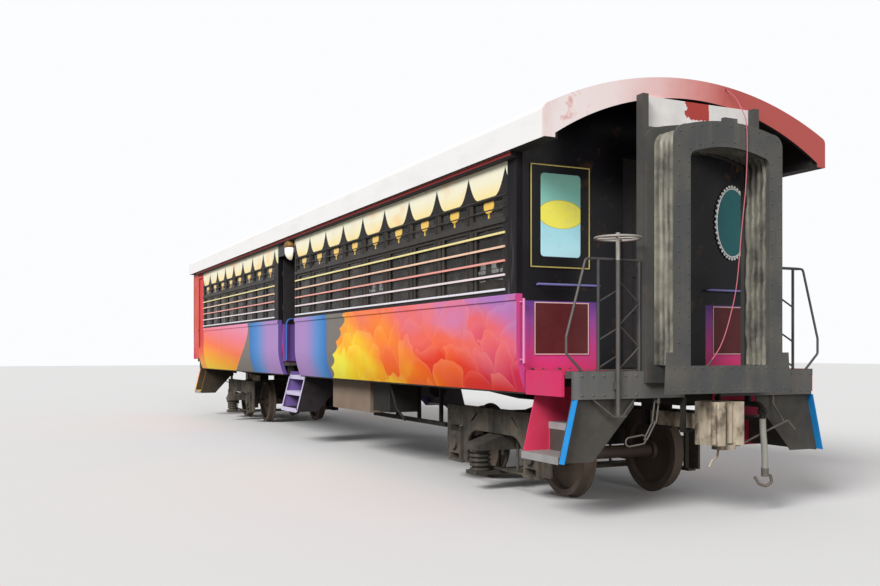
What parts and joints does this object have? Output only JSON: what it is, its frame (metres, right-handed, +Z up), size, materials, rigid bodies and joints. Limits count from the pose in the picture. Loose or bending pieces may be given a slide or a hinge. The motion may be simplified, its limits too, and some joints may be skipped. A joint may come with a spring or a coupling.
{
  "type": "metre-gauge passenger coach",
  "caption": "Bogie passenger coach with an open end platform, a middle entrance, a closed far vestibule, gangways and knuckle couplers at both ends.",
  "frame": {"origin": "on the rail side, at the lowest point of the wheel flanges, midway between the two couplers' faces, on the centre line", "axes": "+X towards the open platform end, +Y towards the side away from the viewer, +Z up"},
  "size_m": [16.2917, 3.15, 3.8496],
  "materials": {
    "roof_paint": "weathered satin",
    "side_paint": "weathered satin, with painted bands",
    "end_paint": "worn satin",
    "floor_covering": "worn",
    "door_paint": "worn satin",
    "red_door_paint": "worn satin",
    "window_glass": "dusty",
    "guard_rail_paint": "satin",
    "seat_covering": "worn",
    "underframe_steel": "dusty",
    "beam_paint": "worn",
    "step_paint": "worn",
    "mid_step_paint": "worn",
    "far_step_paint": "worn",
    "rail_steel": "worn",
    "gangway_steel": "worn",
    "bellows_canvas": "weathered",
    "coupler_iron": "rusty",
    "bogie_steel": "dusty",
    "wheel_steel": "rusty, bright on the tread",
    "hose_rubber": "dusty",
    "cord_fibre": "matt",
    "flap_paint": "worn",
    "panel_paint": "satin"
  },
  "bodies": {
    "coach_body": {"battery_boxes": "underframe_steel", "brake_equipment": "underframe_steel", "brake_hose_far": "hose_rubber", "brake_hose_near": "hose_rubber", "brake_pipes": "underframe_steel", "draw_gear": "underframe_steel", "end_panels": "panel_paint", "end_wall_far": "end_paint", "end_wall_near": "end_paint", "entrance_headers": "side_paint", "far_bulkhead": "end_paint", "flap_hinges": "rail_steel", "floor": "floor_covering", "gangway_bellows": "bellows_canvas", "gangway_face_plates": "gangway_steel", "gangway_frames": "gangway_steel", "grab_rods": "rail_steel", "guard_rails": "guard_rail_paint", "handbrake": "rail_steel", "headstocks": "beam_paint", "hose_coupling_far": "coupler_iron", "hose_coupling_near": "coupler_iron", "platform_railings": "rail_steel", "pull_cord": "cord_fibre", "roof": "roof_paint", "safety_links": "coupler_iron", "seats": "seat_covering", "side_wall_far_left": "side_paint", "side_wall_far_right": "side_paint", "side_wall_near_left": "side_paint", "side_wall_near_right": "side_paint", "steps_far": "far_step_paint", "steps_mid": "mid_step_paint", "steps_near": "step_paint", "uncoupling_rods": "coupler_iron", "underframe": "underframe_steel", "vestibule_partitions": "end_paint", "window_glass": "window_glass"},
    "bogie_near": {"bogie_frame_near": "bogie_steel", "bolster_near": "bogie_steel", "springs_near": "bogie_steel", "axleboxes_near": "bogie_steel"},
    "coupler_near": {"coupler_near": "coupler_iron"},
    "end_door_near": {"end_door_near": "door_paint"},
    "bogie_far": {"bogie_frame_far": "bogie_steel", "bolster_far": "bogie_steel", "springs_far": "bogie_steel", "axleboxes_far": "bogie_steel"},
    "coupler_far": {"coupler_far": "coupler_iron"},
    "end_door_far": {"end_door_far": "door_paint"},
    "wheelset_1": {"wheelset_1": "wheel_steel"},
    "wheelset_2": {"wheelset_2": "wheel_steel"},
    "wheelset_3": {"wheelset_3": "wheel_steel"},
    "wheelset_4": {"wheelset_4": "wheel_steel"},
    "vestibule_door_left": {"vestibule_door_left": "red_door_paint"},
    "mid_door_left": {"mid_door_left": "door_paint"},
    "platform_flap_left": {"platform_flap_left": "flap_paint"},
    "vestibule_door_right": {"vestibule_door_right": "red_door_paint"},
    "mid_door_right": {"mid_door_right": "door_paint"},
    "platform_flap_right": {"platform_flap_right": "flap_paint"}
  },
  "joints": [
    {"name": "bogie_near_swivel", "type": "hinge", "parent": "coach_body", "child": "bogie_near", "pos_m": [5.595, 0, 0.865], "axis": [0, 0, 1], "range_deg": [-4, 4]},
    {"name": "bogie_far_swivel", "type": "hinge", "parent": "coach_body", "child": "bogie_far", "pos_m": [-5.595, 0, 0.865], "axis": [0, 0, 1], "range_deg": [-4, 4]},
    {"name": "coupler_near_swing", "type": "hinge", "parent": "coach_body", "child": "coupler_near", "pos_m": [7.165, 0, 0.825], "axis": [0, 0, 1], "range_deg": [-5, 5]},
    {"name": "coupler_far_swing", "type": "hinge", "parent": "coach_body", "child": "coupler_far", "pos_m": [-7.165, 0, 0.825], "axis": [0, 0, 1], "range_deg": [-5, 5]},
    {"name": "end_door_near_hinge", "type": "hinge", "parent": "coach_body", "child": "end_door_near", "pos_m": [7.023, 0.343, 2.25], "axis": [0, 0, -1], "range_deg": [0, 90]},
    {"name": "end_door_far_hinge", "type": "hinge", "parent": "coach_body", "child": "end_door_far", "pos_m": [-7.023, 0.343, 2.25], "axis": [0, 0, 1], "range_deg": [0, 90]},
    {"name": "vestibule_door_left_hinge", "type": "hinge", "parent": "coach_body", "child": "vestibule_door_left", "pos_m": [-7.097, -1.415, 2.3], "axis": [0, 0, -1], "range_deg": [0, 90]},
    {"name": "vestibule_door_right_hinge", "type": "hinge", "parent": "coach_body", "child": "vestibule_door_right", "pos_m": [-7.097, 1.415, 2.3], "axis": [0, 0, 1], "range_deg": [0, 90]},
    {"name": "mid_door_left_hinge", "type": "hinge", "parent": "coach_body", "child": "mid_door_left", "pos_m": [-0.567, -1.413, 2.15], "axis": [0, 0, -1], "range_deg": [0, 90]},
    {"name": "mid_door_right_hinge", "type": "hinge", "parent": "coach_body", "child": "mid_door_right", "pos_m": [-0.567, 1.413, 2.15], "axis": [0, 0, 1], "range_deg": [0, 90]},
    {"name": "platform_flap_left_hinge", "type": "hinge", "parent": "coach_body", "child": "platform_flap_left", "pos_m": [7.1135, -1.15, 1.285], "axis": [0, -1, 0], "range_deg": [0, 85]},
    {"name": "platform_flap_right_hinge", "type": "hinge", "parent": "coach_body", "child": "platform_flap_right", "pos_m": [7.1135, 1.15, 1.285], "axis": [0, -1, 0], "range_deg": [0, 85]},
    {"name": "wheelset_1_turn", "type": "hinge", "parent": "bogie_near", "child": "wheelset_1", "pos_m": [6.425, 0, 0.425], "axis": [0, 1, 0], "continuous": true},
    {"name": "wheelset_2_turn", "type": "hinge", "parent": "bogie_near", "child": "wheelset_2", "pos_m": [4.765, 0, 0.425], "axis": [0, 1, 0], "continuous": true},
    {"name": "wheelset_3_turn", "type": "hinge", "parent": "bogie_far", "child": "wheelset_3", "pos_m": [-4.765, 0, 0.425], "axis": [0, 1, 0], "continuous": true},
    {"name": "wheelset_4_turn", "type": "hinge", "parent": "bogie_far", "child": "wheelset_4", "pos_m": [-6.425, 0, 0.425], "axis": [0, 1, 0], "continuous": true}
  ]
}
